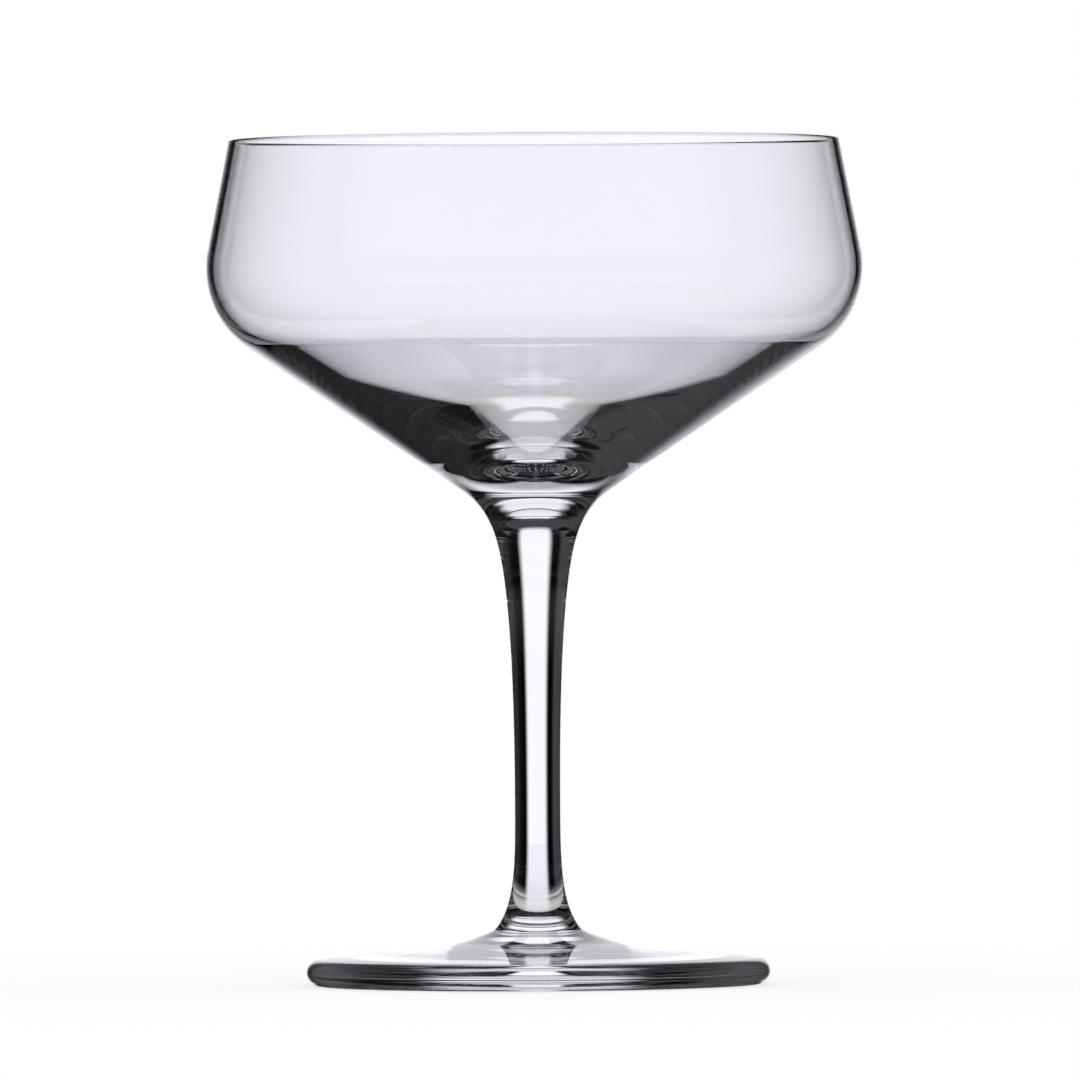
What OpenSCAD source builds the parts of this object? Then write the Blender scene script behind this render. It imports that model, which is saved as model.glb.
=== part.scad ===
// Coupe glass: a blown bowl, a drawn stem and a pressed foot, fused end to end.
// Every piece is turned about the Z axis. The table is at Z = 0.

/* [Overall] */
// Height of the lip above the table
total_h = 141; // [120:1:170]

/* [Bowl] */
// Outside diameter at the lip
rim_d = 102.2; // [85:0.2:125]
// Widest outside diameter, at the shoulder
bowl_d = 109.6; // [90:0.2:130]
// Drop from the lip to the widest level
shoulder_drop = 21.4; // [18:0.2:30]
// Outside radius of the shoulder's curve
shoulder_r = 16; // [10:0.5:20]
// Slope of the lower bowl, from the horizontal
cone_angle = 34; // [28:0.5:40]
// Thickness of the wall from the lip to the shoulder
wall = 1.25; // [0.8:0.05:2]
// Inside radius of the shoulder's curve
shoulder_in_r = 14.2; // [8:0.1:18]
// Slope of the inside of the lower bowl under the shoulder, from the horizontal
cone_in_angle = 30.2; // [29:0.1:31]
// Diameter at which the inside bends to a gentler slope
bend_d = 68; // [56:1:76]
// Radius of that bend
bend_r = 150; // [60:5:240]
// Slope of the inside at the edge of the well, from the horizontal
well_angle = 26.5; // [25:0.5:28.5]
// Radius of the round well inside the bowl
well_r = 32; // [20:0.5:40]

/* [Stem] */
// Diameter where the bowl and the stem are fused
neck_d = 15.5; // [12:0.1:20]
// Radius of the curve under the bowl
neck_r = 13.3; // [8:0.1:18]
// Slope of the outside at the neck, from the horizontal
neck_angle = 65; // [55:1:75]
// Least diameter of the stem
waist_d = 7.6; // [6:0.1:10]
// Height of the least diameter above the table
waist_h = 31; // [22:0.5:40]
// Slope of the stem's flare where it meets the foot, from the horizontal
flare_angle = 48; // [40:1:65]

/* [Foot] */
// Diameter of the foot
foot_d = 77.4; // [60:0.2:95]
// Thickness of the foot at its round edge
edge_t = 4.4; // [3:0.1:6]
// Slope of the top of the foot, from the horizontal
foot_slope = 6.5; // [4:0.1:10]
// Diameter where the stem and the foot are fused
ankle_d = 14.7; // [12:0.1:20]
// Slope of the top of the foot at the ankle, from the horizontal
ankle_angle = 27; // [20:1:45]
// Radius of the sweep from the foot up to the ankle
sweep_r = 22; // [10:0.5:30]
// Width of the flat ring that the foot stands on
ring_w = 5; // [3:0.1:10]
// Depth of the hollow under the foot, on the axis
dish_depth = 2; // [0.4:0.1:3]

/* [Hidden] */
$fn = 180;

// Largest turn of one straight step along a curved outline, in degrees
step_angle = 3;
// Straight steps along each free curve of the stem
curve_steps = 32;
// Lengths of the curve handles at the neck, the waist and the ankle, as shares of the curve's height
taper_neck_pull = 0.056;
taper_waist_pull = 0.83;
flare_waist_pull = 0.47;
flare_ankle_pull = 0.25;

glass_colour = [0.93, 0.93, 0.97, 0.35];

// Points of an arc about centre c, from angle a0 to angle a1
function arc(c, r, a0, a1) =
    let (n = max(2, ceil(abs(a1 - a0) / step_angle)))
    [for (i = [0 : n]) let (a = a0 + (a1 - a0) * i / n) c + r * [cos(a), sin(a)]];

// Points of a cubic curve with end points p0 and p3 and handles p1 and p2
function cubic(p0, p1, p2, p3) =
    [for (i = [0 : curve_steps]) let (t = i / curve_steps, u = 1 - t)
        u * u * u * p0 + 3 * u * u * t * p1 + 3 * u * t * t * p2 + t * t * t * p3];

// Angle of the normal of the line through point p, above, that passes at distance r outside point c
function touch_angle(p, c, r) =
    let (d = p - c) atan2(d[1], d[0]) - acos(r / norm(d));

// The shoulder's curves, outside and inside, are widest at one level
shoulder_c = [bowl_d / 2 - shoulder_r, total_h - shoulder_drop];
shoulder_in_c = [bowl_d / 2 - wall - shoulder_in_r, shoulder_c[1]];

// The lip is round, and both sides of the straight wall touch its circle and the shoulder's
lip_r = wall / 2;
lip_c = [rim_d / 2 - lip_r, total_h - lip_r];
wall_touch = touch_angle(lip_c, shoulder_c, shoulder_r - lip_r);
wall_in_touch = touch_angle(lip_c, shoulder_in_c, shoulder_in_r + lip_r);

// The cone leaves the shoulder, and the neck's curve turns it down to the stem
cone_touch = cone_angle - 90;
cone_top = shoulder_c + shoulder_r * [cos(cone_touch), sin(cone_touch)];
neck_start_r = neck_d / 2 + neck_r * (sin(neck_angle) - sin(cone_angle));
neck_start_z = cone_top[1] - (cone_top[0] - neck_start_r) * tan(cone_angle);
neck_c = [neck_start_r, neck_start_z] + neck_r * [sin(cone_angle), -cos(cone_angle)];
neck_z = neck_c[1] + neck_r * cos(neck_angle);

// Inside, the cone leaves the shoulder and bends to the slope of the well's edge, and the well is round
cone_in_top = shoulder_in_c + shoulder_in_r * [sin(cone_in_angle), -cos(cone_in_angle)];
bend_z = cone_in_top[1] - (cone_in_top[0] - bend_d / 2) * tan(cone_in_angle);
bend_reach = bend_r * tan((cone_in_angle - well_angle) / 2);
bend_start = [bend_d / 2, bend_z] - bend_reach * [cos(well_angle), sin(well_angle)];
bend_c = bend_start + bend_r * [-sin(well_angle), cos(well_angle)];
well_c = [0, bend_z - bend_d / 2 * tan(well_angle) + well_r / cos(well_angle)];

// The foot's round edge, its straight top and the sweep up to the ankle
edge_r = edge_t / 2;
edge_c = [foot_d / 2 - edge_r, edge_r];
edge_top = edge_c + edge_r * [sin(foot_slope), cos(foot_slope)];
sweep_start_r = ankle_d / 2 + sweep_r * (sin(ankle_angle) - sin(foot_slope));
sweep_start_z = edge_top[1] + (edge_top[0] - sweep_start_r) * tan(foot_slope);
sweep_c = [sweep_start_r, sweep_start_z] + sweep_r * [sin(foot_slope), cos(foot_slope)];
ankle_z = sweep_c[1] - sweep_r * cos(ankle_angle);

// The hollow under the foot is a shallow cap inside the ring
dish_edge_r = edge_c[0] - ring_w;
dish_r = (dish_edge_r * dish_edge_r + dish_depth * dish_depth) / (2 * dish_depth);
dish_c = [0, dish_depth - dish_r];

// Blown bowl: round lip, leaning wall, shoulder, cone and neck, with a round well inside
module bowl() {
    color(glass_colour)
        rotate_extrude()
            polygon(concat(
                arc(lip_c, lip_r, 180 + wall_in_touch, wall_touch),
                arc(shoulder_c, shoulder_r, wall_touch, cone_touch),
                arc(neck_c, neck_r, 90 + cone_angle, 90 + neck_angle),
                [[0, neck_z]],
                arc(well_c, well_r, -90, well_angle - 90),
                arc(bend_c, bend_r, well_angle - 90, cone_in_angle - 90),
                arc(shoulder_in_c, shoulder_in_r, cone_in_angle - 90, wall_in_touch)));
}

// Drawn stem: a long taper from the neck to the waist, then a flare to the ankle
module stem() {
    neck = [neck_d / 2, neck_z];
    waist = [waist_d / 2, waist_h];
    ankle = [ankle_d / 2, ankle_z];
    taper_h = neck_z - waist_h;
    flare_h = waist_h - ankle_z;
    taper = cubic(
        neck,
        neck - taper_h * taper_neck_pull * [cos(neck_angle), sin(neck_angle)],
        waist + [0, taper_h * taper_waist_pull],
        waist);
    flare = cubic(
        waist,
        waist - [0, flare_h * flare_waist_pull],
        ankle + flare_h * flare_ankle_pull * [-cos(flare_angle), sin(flare_angle)],
        ankle);
    color(glass_colour)
        rotate_extrude()
            polygon(concat(
                [[0, neck_z]],
                taper,
                [for (i = [1 : curve_steps]) flare[i]],
                [[0, ankle_z]]));
}

// Pressed foot: a sloping disc with a round edge, on a flat ring round a shallow hollow
module foot() {
    dish_edge_angle = atan2(-dish_c[1], dish_edge_r);
    color(glass_colour)
        rotate_extrude()
            polygon(concat(
                [[0, ankle_z]],
                arc(sweep_c, sweep_r, -90 - ankle_angle, -90 - foot_slope),
                arc(edge_c, edge_r, 90 - foot_slope, -90),
                [for (i = [0 : curve_steps])
                    let (a = dish_edge_angle + (90 - dish_edge_angle) * i / curve_steps)
                    dish_c + dish_r * [cos(a), sin(a)]]));
}

bowl();
stem();
foot();
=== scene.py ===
# Clear coupe glass: bowl, stem and foot, on a bright-field studio set
from math import acos, atan2, ceil, cos, degrees, hypot, pi, radians, sin, tan

import bmesh
import bpy
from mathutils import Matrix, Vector


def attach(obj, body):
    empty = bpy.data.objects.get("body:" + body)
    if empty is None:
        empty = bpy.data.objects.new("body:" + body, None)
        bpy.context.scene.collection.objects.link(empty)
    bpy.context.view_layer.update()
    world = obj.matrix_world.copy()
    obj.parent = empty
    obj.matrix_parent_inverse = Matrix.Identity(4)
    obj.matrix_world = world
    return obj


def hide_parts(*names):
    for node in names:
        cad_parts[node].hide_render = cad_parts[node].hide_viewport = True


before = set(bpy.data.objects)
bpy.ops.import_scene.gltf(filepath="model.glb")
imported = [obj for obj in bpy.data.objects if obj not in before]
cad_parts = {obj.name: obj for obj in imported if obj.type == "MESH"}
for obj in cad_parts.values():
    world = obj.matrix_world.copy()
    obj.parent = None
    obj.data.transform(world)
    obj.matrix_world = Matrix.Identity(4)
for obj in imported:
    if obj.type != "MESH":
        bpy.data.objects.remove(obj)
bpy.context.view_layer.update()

scene = bpy.context.scene
scene.view_settings.view_transform = "Standard"
scene.cycles.max_bounces = 48
scene.cycles.transmission_bounces = 48
scene.cycles.glossy_bounces = 32
scene.cycles.transparent_max_bounces = 48

# One millimetre in metres, and the least length that counts, in millimetres
MM = 0.001
TINY = 1e-6

# Sizes of the glass in millimetres and its slopes in degrees, as in the part's source
total_h = 141
rim_d = 102.2
bowl_d = 109.6
shoulder_drop = 21.4
shoulder_r = 16
cone_angle = 34
wall = 1.25
shoulder_in_r = 14.2
cone_in_angle = 30.2
bend_d = 68
bend_r = 150
well_angle = 26.5
well_r = 32
neck_d = 15.5
neck_r = 13.3
neck_angle = 65
waist_d = 7.6
waist_h = 31
flare_angle = 48
foot_d = 77.4
edge_t = 4.4
foot_slope = 6.5
ankle_d = 14.7
ankle_angle = 27
sweep_r = 22
ring_w = 5
dish_depth = 2

# Lengths of the stem's curve handles, as shares of each curve's height
taper_neck_pull = 0.056
taper_waist_pull = 0.83
flare_waist_pull = 0.47
flare_ankle_pull = 0.25

# Fineness of the turned meshes: steps round the axis, and steps along each free curve of the outline
SEGMENTS = 360
CURVE_STEPS = 72
# Steps along the outline's arcs in degrees, by kind of curve
ARC_STEP = 1.0
FINE_STEP = 0.5
LONG_STEP = 0.1
EDGE_STEP = 3
LIP_STEP = 2
# Steps along straight stretches, and the short step at both ends of one, in millimetres
LINE_STEP = 1.5
END_STEP = 0.05
# Edges that turn by more than this are sharp
SHARP_ANGLE = radians(25)

# The glass: its tint, its refractive index and its roughness where the fire polish is dullest
GLASS_TINT = (0.985, 0.985, 1.0, 1.0)
GLASS_IOR = 1.52
POLISH_ROUGHNESS = 0.012
# Size of the ripple along each axis and its depth, in millimetres
BOWL_RIPPLE = (18, 18, 9)
BOWL_RIPPLE_DEPTH = 0.004
STEM_RIPPLE = (5, 5, 40)
STEM_RIPPLE_DEPTH = 0.002
FOOT_RIPPLE = (11, 11, 11)
FOOT_RIPPLE_DEPTH = 0.004
# Roughness that wear adds under the foot, at most
FOOT_WEAR = 0.3
# Size of its scratches, the height up to which it is full and the height where it ends, in millimetres
SCRATCH_SIZE = 0.6
WEAR_FULL_HEIGHT = 0.02
WEAR_HEIGHT = 0.15

# Levels of the floor and of the mirror sheet on it, and half the side of the floor, in metres
FLOOR_Z = -0.1 * MM
FILM_Z = -0.05 * MM
FLOOR_HALF = 6.0
# Radius and height of the drape round the glass, in metres, and the sides of its round
SET_R = 0.5
SET_H = 0.7
SET_SIDES = 96
# Radius of the pinhole on the axis of the ceiling and of the mirror sheet, in metres
CEILING_HOLE_R = 1 * MM
SHEET_HOLE_R = 0.1 * MM

# Light that falls on things from the white surroundings, and the share of it that the floor returns
WORLD_FILL = 0.6
FLOOR_ALBEDO = 0.45
# Tint of the set's dim light, and the haze in the drape's opening
LAVENDER = (0.94, 0.94, 1.0, 1.0)
BACKLIGHT = (0.05, 0.05, 0.10, 1.0)

# Azimuths on the drape in degrees, 0 straight behind: the opening, the dim sides and where no lamp is
OPENING = (-15.4, 18.1)
OPENING_SOFT = 8.7
LEFT_SIDE = (-100, -31)
RIGHT_SIDE = (40, 100)
SIDE_SOFT = 10
NO_LAMP = (-115, 115)
NO_LAMP_SOFT = 30
# Heights of the soft lamp in front, in metres
LAMP_HEIGHTS = (0.19, 0.34)
LAMP_HEIGHT_SOFT = 0.14
# Strength of the light of each part of the set
LEFT_GLOW = 0.06
RIGHT_GLOW = 0.022
LAMP_GLOW = 0.4
DRAPE_GLOW = 0.002
CEILING_GLOW = 0.065

# Colour of the table's mirror sheet to steep rays and to flat ones, and the flatness where each is reached;
# the grey to steep rays is painted shade on the floor as the glass shows it
SHADED_MIRROR_STEEP = (0.42, 0.42, 0.44, 1.0)
MIRROR_FLAT = (0.92, 0.92, 0.96, 1.0)
MIRROR_STOPS = (0.35, 0.95)
# Slopes in degrees at which the mirror sheet begins to clear and is wholly clear
CLEAR_FROM = 12
CLEAR_WHOLLY = 28

# Camera at the photograph's viewing angle: a long lens a little above the middle of the glass, in metres
EYE = Vector((0.00064, -2.7, 0.0825))
AIM = Vector((0.00064, 0, 0.0741))
ROLL = radians(-0.32)


def arc(c, r, a0, a1, step=ARC_STEP):
    """Points of an arc about centre c from angle a0 to angle a1, in degrees."""
    n = max(2, ceil(abs(a1 - a0) / step))
    angles = [radians(a0 + (a1 - a0) * i / n) for i in range(n + 1)]
    return [(c[0] + r * cos(a), c[1] + r * sin(a)) for a in angles]


def cubic(p0, p1, p2, p3):
    """Points of a cubic curve with end points p0 and p3 and handles p1 and p2."""
    points = []
    for i in range(CURVE_STEPS + 1):
        t = i / CURVE_STEPS
        u = 1 - t
        weights = (u**3, 3 * u * u * t, 3 * u * t * t, t**3)
        points.append(tuple(sum(w * p[k] for w, p in zip(weights, (p0, p1, p2, p3))) for k in (0, 1)))
    return points


def touch_angle(p, c, r):
    """Angle of the normal of the line through point p, above, that passes at distance r outside point c."""
    d = (p[0] - c[0], p[1] - c[1])
    return degrees(atan2(d[1], d[0]) - acos(r / hypot(*d)))


def direction(c, p):
    """Angle of the direction from c to p, in degrees."""
    return degrees(atan2(p[1] - c[1], p[0] - c[0]))


def joined(*runs):
    """One outline from several runs of points, with long straight stretches cut into short steps."""
    points = [p for run in runs for p in run]
    outline = [points[0]]
    for p in points[1:]:
        q = outline[-1]
        length = hypot(p[0] - q[0], p[1] - q[1])
        if length < TINY:
            continue
        n = ceil(length / LINE_STEP)
        shares = [i / n for i in range(1, n)]
        if shares:
            shares = [END_STEP / length] + shares + [1 - END_STEP / length]
        outline += [(q[0] + (p[0] - q[0]) * t, q[1] + (p[1] - q[1]) * t) for t in shares + [1]]
    return outline


# The shoulder's curves, outside and inside, are widest at one level
shoulder_c = (bowl_d / 2 - shoulder_r, total_h - shoulder_drop)
shoulder_in_c = (bowl_d / 2 - wall - shoulder_in_r, shoulder_c[1])

# The cone leaves the shoulder, and the neck's curve turns it down to the stem
cone_touch = cone_angle - 90
cone_top = (shoulder_c[0] + shoulder_r * cos(radians(cone_touch)),
            shoulder_c[1] + shoulder_r * sin(radians(cone_touch)))
neck_start_r = neck_d / 2 + neck_r * (sin(radians(neck_angle)) - sin(radians(cone_angle)))
neck_start_z = cone_top[1] - (cone_top[0] - neck_start_r) * tan(radians(cone_angle))
neck_c = (neck_start_r + neck_r * sin(radians(cone_angle)),
          neck_start_z - neck_r * cos(radians(cone_angle)))
neck_z = neck_c[1] + neck_r * cos(radians(neck_angle))

# Inside, the cone bends gently to the slope of the well's edge, and the well is round
cone_in = radians(cone_in_angle)
well_edge = radians(well_angle)
cone_in_top = (shoulder_in_c[0] + shoulder_in_r * sin(cone_in),
               shoulder_in_c[1] - shoulder_in_r * cos(cone_in))
bend_z = cone_in_top[1] - (cone_in_top[0] - bend_d / 2) * tan(cone_in)
bend_reach = bend_r * tan((cone_in - well_edge) / 2)
bend_c = (bend_d / 2 - bend_reach * cos(well_edge) - bend_r * sin(well_edge),
          bend_z - bend_reach * sin(well_edge) + bend_r * cos(well_edge))
well_c = (0, bend_z - bend_d / 2 * tan(well_edge) + well_r / cos(well_edge))

# The foot's round edge, its straight top and the sweep up to the ankle
edge_r = edge_t / 2
edge_c = (foot_d / 2 - edge_r, edge_r)
edge_top = (edge_c[0] + edge_r * sin(radians(foot_slope)),
            edge_c[1] + edge_r * cos(radians(foot_slope)))
sweep_start_r = ankle_d / 2 + sweep_r * (sin(radians(ankle_angle)) - sin(radians(foot_slope)))
sweep_start_z = edge_top[1] + (edge_top[0] - sweep_start_r) * tan(radians(foot_slope))
sweep_c = (sweep_start_r + sweep_r * sin(radians(foot_slope)),
           sweep_start_z + sweep_r * cos(radians(foot_slope)))
ankle_z = sweep_c[1] - sweep_r * cos(radians(ankle_angle))


def bowl_outline():
    """From the axis at the fused face, up the outside, over the lip and down the inside."""
    lip_r = wall / 2
    lip_c = (rim_d / 2 - lip_r, total_h - lip_r)
    wall_touch = touch_angle(lip_c, shoulder_c, shoulder_r - lip_r)
    wall_in_touch = touch_angle(lip_c, shoulder_in_c, shoulder_in_r + lip_r)
    return joined(
        [(0, neck_z)],
        arc(neck_c, neck_r, 90 + neck_angle, 90 + cone_angle, FINE_STEP),
        arc(shoulder_c, shoulder_r, cone_touch, wall_touch),
        arc(lip_c, lip_r, wall_touch, 180 + wall_in_touch, LIP_STEP),
        arc(shoulder_in_c, shoulder_in_r, wall_in_touch, cone_in_angle - 90),
        arc(bend_c, bend_r, cone_in_angle - 90, well_angle - 90, LONG_STEP),
        arc(well_c, well_r, well_angle - 90, -90, FINE_STEP))


def stem_outline():
    """From the axis at the ankle, up the flare and the taper to the axis at the neck."""
    neck = (neck_d / 2, neck_z)
    waist = (waist_d / 2, waist_h)
    ankle = (ankle_d / 2, ankle_z)
    taper_h = neck_z - waist_h
    flare_h = waist_h - ankle_z
    neck_pull = taper_h * taper_neck_pull
    ankle_pull = flare_h * flare_ankle_pull
    flare = cubic(
        ankle,
        (ankle[0] - ankle_pull * cos(radians(flare_angle)),
         ankle[1] + ankle_pull * sin(radians(flare_angle))),
        (waist[0], waist[1] - flare_h * flare_waist_pull),
        waist)
    taper = cubic(
        waist,
        (waist[0], waist[1] + taper_h * taper_waist_pull),
        (neck[0] - neck_pull * cos(radians(neck_angle)),
         neck[1] - neck_pull * sin(radians(neck_angle))),
        neck)
    return joined([(0, ankle_z)], flare, taper, [(0, neck_z)])


def foot_outline():
    """From the axis in the hollow, out over the ring, round the edge and up to the axis at the ankle."""
    dish_edge_r = edge_c[0] - ring_w
    dish_r = (dish_edge_r**2 + dish_depth**2) / (2 * dish_depth)
    dish_c = (0, dish_depth - dish_r)
    dish_edge = direction(dish_c, (dish_edge_r, 0))
    return joined(
        arc(dish_c, dish_r, 90, dish_edge, LONG_STEP),
        arc(edge_c, edge_r, -90, 90 - foot_slope, EDGE_STEP),
        arc(sweep_c, sweep_r, -90 - foot_slope, -90 - ankle_angle),
        [(0, ankle_z)])


def turned(name, outline, fused_levels, materials):
    """A closed mesh turned about the axis. Flat faces at the fused levels take the second material."""
    bm = bmesh.new()
    turns = [2 * pi * i / SEGMENTS for i in range(SEGMENTS)]
    rings = []
    for r, z in outline:
        if r < TINY:
            rings.append([bm.verts.new((0, 0, z * MM))])
            continue
        rings.append([bm.verts.new((r * cos(a) * MM, r * sin(a) * MM, z * MM)) for a in turns])
    for low, high, (_, z0), (_, z1) in zip(rings, rings[1:], outline, outline[1:]):
        fused = any(abs(z0 - level) + abs(z1 - level) < TINY for level in fused_levels)
        for i in range(SEGMENTS):
            j = (i + 1) % SEGMENTS
            if len(low) == 1:
                corners = (low[0], high[j], high[i])
            elif len(high) == 1:
                corners = (low[i], low[j], high[0])
            else:
                corners = (low[i], low[j], high[j], high[i])
            face = bm.faces.new(corners)
            face.smooth = True
            face.material_index = int(fused)
    bmesh.ops.recalc_face_normals(bm, faces=bm.faces)
    mesh = bpy.data.meshes.new(name)
    bm.to_mesh(mesh)
    bm.free()
    mesh.set_sharp_from_angle(angle=SHARP_ANGLE)
    for material in materials:
        mesh.materials.append(material)
    piece = bpy.data.objects.new(name, mesh)
    scene.collection.objects.link(piece)
    return piece


def material_nodes(name):
    """A new node material: the material, its nodes, its links and its output."""
    material = bpy.data.materials.new(name)
    material.use_nodes = True
    nodes, links = material.node_tree.nodes, material.node_tree.links
    nodes.clear()
    return material, nodes, links, nodes.new("ShaderNodeOutputMaterial")


def calc(nodes, links, operation, a, b):
    """One operation on two values, each a number or an output."""
    node = nodes.new("ShaderNodeMath")
    node.operation = operation
    for socket, value in zip(node.inputs, (a, b)):
        if isinstance(value, (int, float)):
            socket.default_value = value
        else:
            links.new(value, socket)
    return node.outputs["Value"]


def ramp(nodes, links, value, low, high, start=0.0, end=1.0):
    """A smooth step of a value from start at low to end at high."""
    node = nodes.new("ShaderNodeMapRange")
    node.interpolation_type = "SMOOTHSTEP"
    node.inputs["From Min"].default_value = low
    node.inputs["From Max"].default_value = high
    node.inputs["To Min"].default_value = start
    node.inputs["To Max"].default_value = end
    links.new(value, node.inputs["Value"])
    return node.outputs["Result"]


def window(nodes, links, value, low, high, soft):
    """1 between low and high, 0 outside, with soft edges."""
    rise = ramp(nodes, links, value, low - soft / 2, low + soft / 2)
    fall = ramp(nodes, links, value, high - soft / 2, high + soft / 2, 1.0, 0.0)
    return calc(nodes, links, "MULTIPLY", rise, fall)


def glass(name, ripple_size, ripple_depth, wear=0.0):
    """Clear glass with a faint ripple, stretched as the piece was worked, and wear where it stands."""
    material, nodes, links, out = material_nodes(name)
    shader = nodes.new("ShaderNodeBsdfPrincipled")
    shader.inputs["Base Color"].default_value = GLASS_TINT
    shader.inputs["Transmission Weight"].default_value = 1.0
    shader.inputs["IOR"].default_value = GLASS_IOR
    place = nodes.new("ShaderNodeTexCoord")
    stretch = nodes.new("ShaderNodeMapping")
    stretch.inputs["Scale"].default_value = [1 / (size * MM) for size in ripple_size]
    links.new(place.outputs["Object"], stretch.inputs["Vector"])
    ripple = nodes.new("ShaderNodeTexNoise")
    ripple.inputs["Scale"].default_value = 1.0
    ripple.inputs["Detail"].default_value = 1.0
    links.new(stretch.outputs["Vector"], ripple.inputs["Vector"])
    bump = nodes.new("ShaderNodeBump")
    bump.inputs["Strength"].default_value = 1.0
    bump.inputs["Distance"].default_value = ripple_depth * MM
    links.new(ripple.outputs["Fac"], bump.inputs["Height"])
    links.new(bump.outputs["Normal"], shader.inputs["Normal"])
    polish = calc(nodes, links, "MULTIPLY", ripple.outputs["Fac"], POLISH_ROUGHNESS)
    scratches = nodes.new("ShaderNodeTexNoise")
    scratches.inputs["Scale"].default_value = 1 / (SCRATCH_SIZE * MM)
    scratches.inputs["Detail"].default_value = 3.0
    links.new(place.outputs["Object"], scratches.inputs["Vector"])
    split = nodes.new("ShaderNodeSeparateXYZ")
    links.new(place.outputs["Object"], split.inputs["Vector"])
    touching = ramp(nodes, links, split.outputs["Z"], WEAR_FULL_HEIGHT * MM, WEAR_HEIGHT * MM, wear, 0.0)
    worn = calc(nodes, links, "MULTIPLY", scratches.outputs["Fac"], touching)
    links.new(calc(nodes, links, "ADD", polish, worn), shader.inputs["Roughness"])
    links.new(shader.outputs["BSDF"], out.inputs["Surface"])
    return material


def fused_face():
    """Where two pieces are fused the glass is one, so the shared face lets light straight through."""
    material, nodes, links, out = material_nodes("fused_face")
    shader = nodes.new("ShaderNodeBsdfTransparent")
    links.new(shader.outputs["BSDF"], out.inputs["Surface"])
    return material


def seen(nodes, links):
    """1 for what the camera sees, straight or in the glass, and 0 for light that only falls on things."""
    path = nodes.new("ShaderNodeLightPath")
    first = calc(nodes, links, "MAXIMUM", path.outputs["Is Camera Ray"], path.outputs["Is Glossy Ray"])
    return calc(nodes, links, "MAXIMUM", first, path.outputs["Is Transmission Ray"])


def white_world(fill):
    """White where it is seen, and a plain soft fill where it lights things."""
    world = bpy.data.worlds.new("studio")
    world.use_nodes = True
    scene.world = world
    nodes, links = world.node_tree.nodes, world.node_tree.links
    nodes.clear()
    out = nodes.new("ShaderNodeOutputWorld")
    light = nodes.new("ShaderNodeBackground")
    light.inputs["Strength"].default_value = fill
    backdrop = nodes.new("ShaderNodeBackground")
    backdrop.inputs["Strength"].default_value = 1.0
    for shader in (light, backdrop):
        shader.inputs["Color"].default_value = (1, 1, 1, 1)
    mix = nodes.new("ShaderNodeMixShader")
    links.new(seen(nodes, links), mix.inputs["Fac"])
    links.new(light.outputs["Background"], mix.inputs[1])
    links.new(backdrop.outputs["Background"], mix.inputs[2])
    links.new(mix.outputs["Shader"], out.inputs["Surface"])


def flat(name, corners, material):
    """A flat four-cornered stage piece, corners in metres."""
    mesh = bpy.data.meshes.new(name)
    mesh.from_pydata(corners, [], [(0, 1, 2, 3)])
    mesh.materials.append(material)
    piece = bpy.data.objects.new(name, mesh)
    scene.collection.objects.link(piece)


def white_floor(albedo, own_light):
    """A white table. Where it is seen, its own light makes up for what it lacks, and its shadow stays."""
    material, nodes, links, out = material_nodes("white_floor")
    paper = nodes.new("ShaderNodeBsdfDiffuse")
    paper.inputs["Color"].default_value = (albedo, albedo, albedo, 1)
    lamp = nodes.new("ShaderNodeEmission")
    links.new(calc(nodes, links, "MULTIPLY", seen(nodes, links), own_light), lamp.inputs["Strength"])
    total = nodes.new("ShaderNodeAddShader")
    links.new(paper.outputs["BSDF"], total.inputs[0])
    links.new(lamp.outputs["Emission"], total.inputs[1])
    links.new(total.outputs["Shader"], out.inputs["Surface"])
    material.cycles.emission_sampling = "NONE"
    corners = [(-1, -1), (1, -1), (1, 1), (-1, 1)]
    flat("floor", [(x * FLOOR_HALF, y * FLOOR_HALF, FLOOR_Z) for x, y in corners], material)


def polar(nodes, links):
    """Azimuth in degrees, 0 straight behind the glass, and height in metres, in the set's own frame."""
    place = nodes.new("ShaderNodeTexCoord")
    split = nodes.new("ShaderNodeSeparateXYZ")
    links.new(place.outputs["Object"], split.inputs["Vector"])
    turn = calc(nodes, links, "ARCTAN2", split.outputs["X"], split.outputs["Y"])
    return calc(nodes, links, "MULTIPLY", turn, degrees(1)), split.outputs["Z"]


def glow(nodes, links, value):
    """A dim lavender glow of that strength."""
    shader = nodes.new("ShaderNodeEmission")
    shader.inputs["Color"].default_value = LAVENDER
    links.new(value, shader.inputs["Strength"])
    return shader.outputs["Emission"]


def part_open(nodes, links, opening, shader, out, haze=(0, 0, 0, 1)):
    """The shader, with nothing but a faint haze in the way where opening is 1."""
    clear = nodes.new("ShaderNodeBsdfTransparent")
    veil = nodes.new("ShaderNodeEmission")
    veil.inputs["Color"].default_value = haze
    hazy = nodes.new("ShaderNodeAddShader")
    links.new(clear.outputs["BSDF"], hazy.inputs[0])
    links.new(veil.outputs["Emission"], hazy.inputs[1])
    mix = nodes.new("ShaderNodeMixShader")
    links.new(opening, mix.inputs["Fac"])
    links.new(shader, mix.inputs[1])
    links.new(hazy.outputs["Shader"], mix.inputs[2])
    links.new(mix.outputs["Shader"], out.inputs["Surface"])


def only_in_glass(piece):
    """This piece of the set is seen in the glass alone, casts no shade and turns with the camera."""
    piece.visible_camera = False
    piece.visible_diffuse = False
    piece.visible_shadow = False
    piece.visible_volume_scatter = False
    piece.parent = turntable
    for material in piece.data.materials:
        material.cycles.emission_sampling = "NONE"


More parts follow.
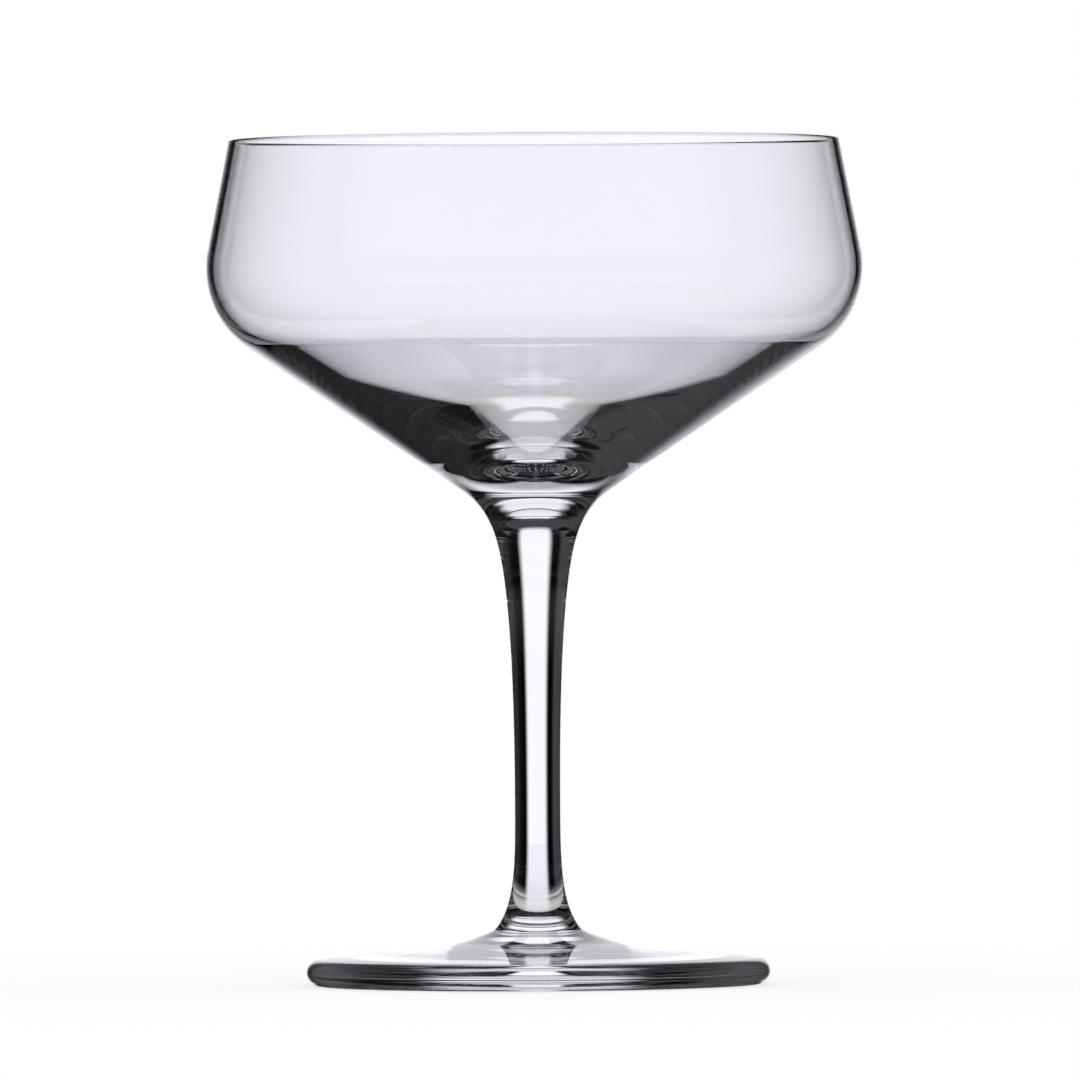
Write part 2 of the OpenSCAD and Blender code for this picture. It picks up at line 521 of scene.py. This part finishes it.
def ring_mesh(name, circles, material):
    """A turned sheet through circles of (radius, height) in metres, for the set."""
    turns = [2 * pi * i / SET_SIDES for i in range(SET_SIDES)]
    vertices = [(r * cos(a), r * sin(a), z) for r, z in circles for a in turns]
    faces = []
    for k in range(len(circles) - 1):
        low = k * SET_SIDES
        high = low + SET_SIDES
        for i in range(SET_SIDES):
            j = (i + 1) % SET_SIDES
            faces.append((low + i, low + j, high + j, high + i))
    mesh = bpy.data.meshes.new(name)
    mesh.from_pydata(vertices, [], faces)
    mesh.materials.append(material)
    piece = bpy.data.objects.new(name, mesh)
    scene.collection.objects.link(piece)
    only_in_glass(piece)


def drape():
    """Black drape round the glass, open to the white behind it, with dim sides and a soft lamp in front."""
    material, nodes, links, out = material_nodes("drape")
    azimuth, height = polar(nodes, links)
    opening = window(nodes, links, azimuth, *OPENING, OPENING_SOFT)
    left_side = window(nodes, links, azimuth, *LEFT_SIDE, SIDE_SOFT)
    left = calc(nodes, links, "MULTIPLY", left_side, LEFT_GLOW)
    right_side = window(nodes, links, azimuth, *RIGHT_SIDE, SIDE_SOFT)
    right = calc(nodes, links, "MULTIPLY", right_side, RIGHT_GLOW)
    across = calc(nodes, links, "SUBTRACT", 1.0, window(nodes, links, azimuth, *NO_LAMP, NO_LAMP_SOFT))
    upright = window(nodes, links, height, *LAMP_HEIGHTS, LAMP_HEIGHT_SOFT)
    lamp = calc(nodes, links, "MULTIPLY", upright, LAMP_GLOW)
    front = calc(nodes, links, "MULTIPLY", across, lamp)
    sides = calc(nodes, links, "ADD", left, right)
    lights = calc(nodes, links, "ADD", sides, front)
    cloth = glow(nodes, links, calc(nodes, links, "ADD", lights, DRAPE_GLOW))
    part_open(nodes, links, opening, cloth, out, haze=BACKLIGHT)
    ring_mesh("drape", [(SET_R, FILM_Z), (SET_R, SET_H)], material)


def ceiling():
    """Dim soft light overhead."""
    material, nodes, links, out = material_nodes("ceiling")
    shader = nodes.new("ShaderNodeEmission")
    shader.inputs["Color"].default_value = LAVENDER
    shader.inputs["Strength"].default_value = CEILING_GLOW
    links.new(shader.outputs["Emission"], out.inputs["Surface"])
    ring_mesh("ceiling", [(CEILING_HOLE_R, SET_H), (SET_R, SET_H)], material)


def shade_mirror_sheet():
    """A mirror sheet on the table, seen only in the glass and greyed for steep rays: painted shade on the
    floor as the glass shows it. It is clear to steep light that came straight through the glass.
    """
    material, nodes, links, out = material_nodes("shade_mirror_sheet")
    # At this blend Facing is 1 less the sine of the ray's slope
    facing = nodes.new("ShaderNodeLayerWeight")
    facing.inputs["Blend"].default_value = 0.5
    flatness = facing.outputs["Facing"]
    mirror = nodes.new("ShaderNodeBsdfAnisotropic")
    mirror.inputs["Roughness"].default_value = 0.0
    # Grey mirror colour for steep rays, light for flat ones: painted shade on the floor seen in the glass
    steep_shade_tint = nodes.new("ShaderNodeValToRGB")
    steep_shade_tint.color_ramp.interpolation = "EASE"
    colours = (SHADED_MIRROR_STEEP, MIRROR_FLAT)
    for stop, position, colour in zip(steep_shade_tint.color_ramp.elements, MIRROR_STOPS, colours):
        stop.position = position
        stop.color = colour
    links.new(flatness, steep_shade_tint.inputs["Fac"])
    links.new(steep_shade_tint.outputs["Color"], mirror.inputs["Color"])
    # Light that came straight through has a glossy depth of 0
    path = nodes.new("ShaderNodeLightPath")
    straight = calc(nodes, links, "LESS_THAN", path.outputs["Glossy Depth"], 0.5)
    clear_end = 1 - sin(radians(CLEAR_WHOLLY))
    mirror_end = 1 - sin(radians(CLEAR_FROM))
    down = ramp(nodes, links, flatness, clear_end, mirror_end, 1.0, 0.0)
    steep = calc(nodes, links, "MULTIPLY", straight, down)
    part_open(nodes, links, steep, mirror.outputs["BSDF"], out)
    ring_mesh("shade_mirror_sheet", [(SHEET_HOLE_R, FILM_Z), (SET_R, FILM_Z)], material)


camera_data = bpy.data.cameras.new("camera")
camera_data.sensor_width = 36
camera_data.lens = 540
camera_data.clip_start = 0.1
camera_data.clip_end = 50
camera = bpy.data.objects.new("camera", camera_data)
scene.collection.objects.link(camera)
camera.location = EYE
camera.rotation_euler = (AIM - EYE).to_track_quat("-Z", "Y").to_euler()
camera.rotation_euler.rotate_axis("Z", ROLL)
scene.camera = camera

# The set turns with the camera, so the glass is lit alike from every side
turntable = bpy.data.objects.new("turntable", None)
scene.collection.objects.link(turntable)
follow = turntable.constraints.new("LOCKED_TRACK")
follow.target = camera
follow.track_axis = "TRACK_NEGATIVE_Y"
follow.lock_axis = "LOCK_Z"

white_world(WORLD_FILL)
white_floor(FLOOR_ALBEDO, 1 - FLOOR_ALBEDO * WORLD_FILL)
drape()
ceiling()
# Mirror sheet on the table, seen only in the glass, with painted shade on the floor there
shade_mirror_sheet()

fused = fused_face()
bowl_glass = glass("bowl_crystal", BOWL_RIPPLE, BOWL_RIPPLE_DEPTH)
stem_glass = glass("stem_crystal", STEM_RIPPLE, STEM_RIPPLE_DEPTH)
foot_glass = glass("foot_crystal", FOOT_RIPPLE, FOOT_RIPPLE_DEPTH, wear=FOOT_WEAR)
bowl = turned("bowl_blown", bowl_outline(), [neck_z], [bowl_glass, fused])
stem = turned("stem_drawn", stem_outline(), [neck_z, ankle_z], [stem_glass, fused])
foot = turned("foot_pressed", foot_outline(), [ankle_z], [foot_glass, fused])

for piece, node in ((bowl, "bowl"), (stem, "stem"), (foot, "foot")):
    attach(piece, "root")
    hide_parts(node)
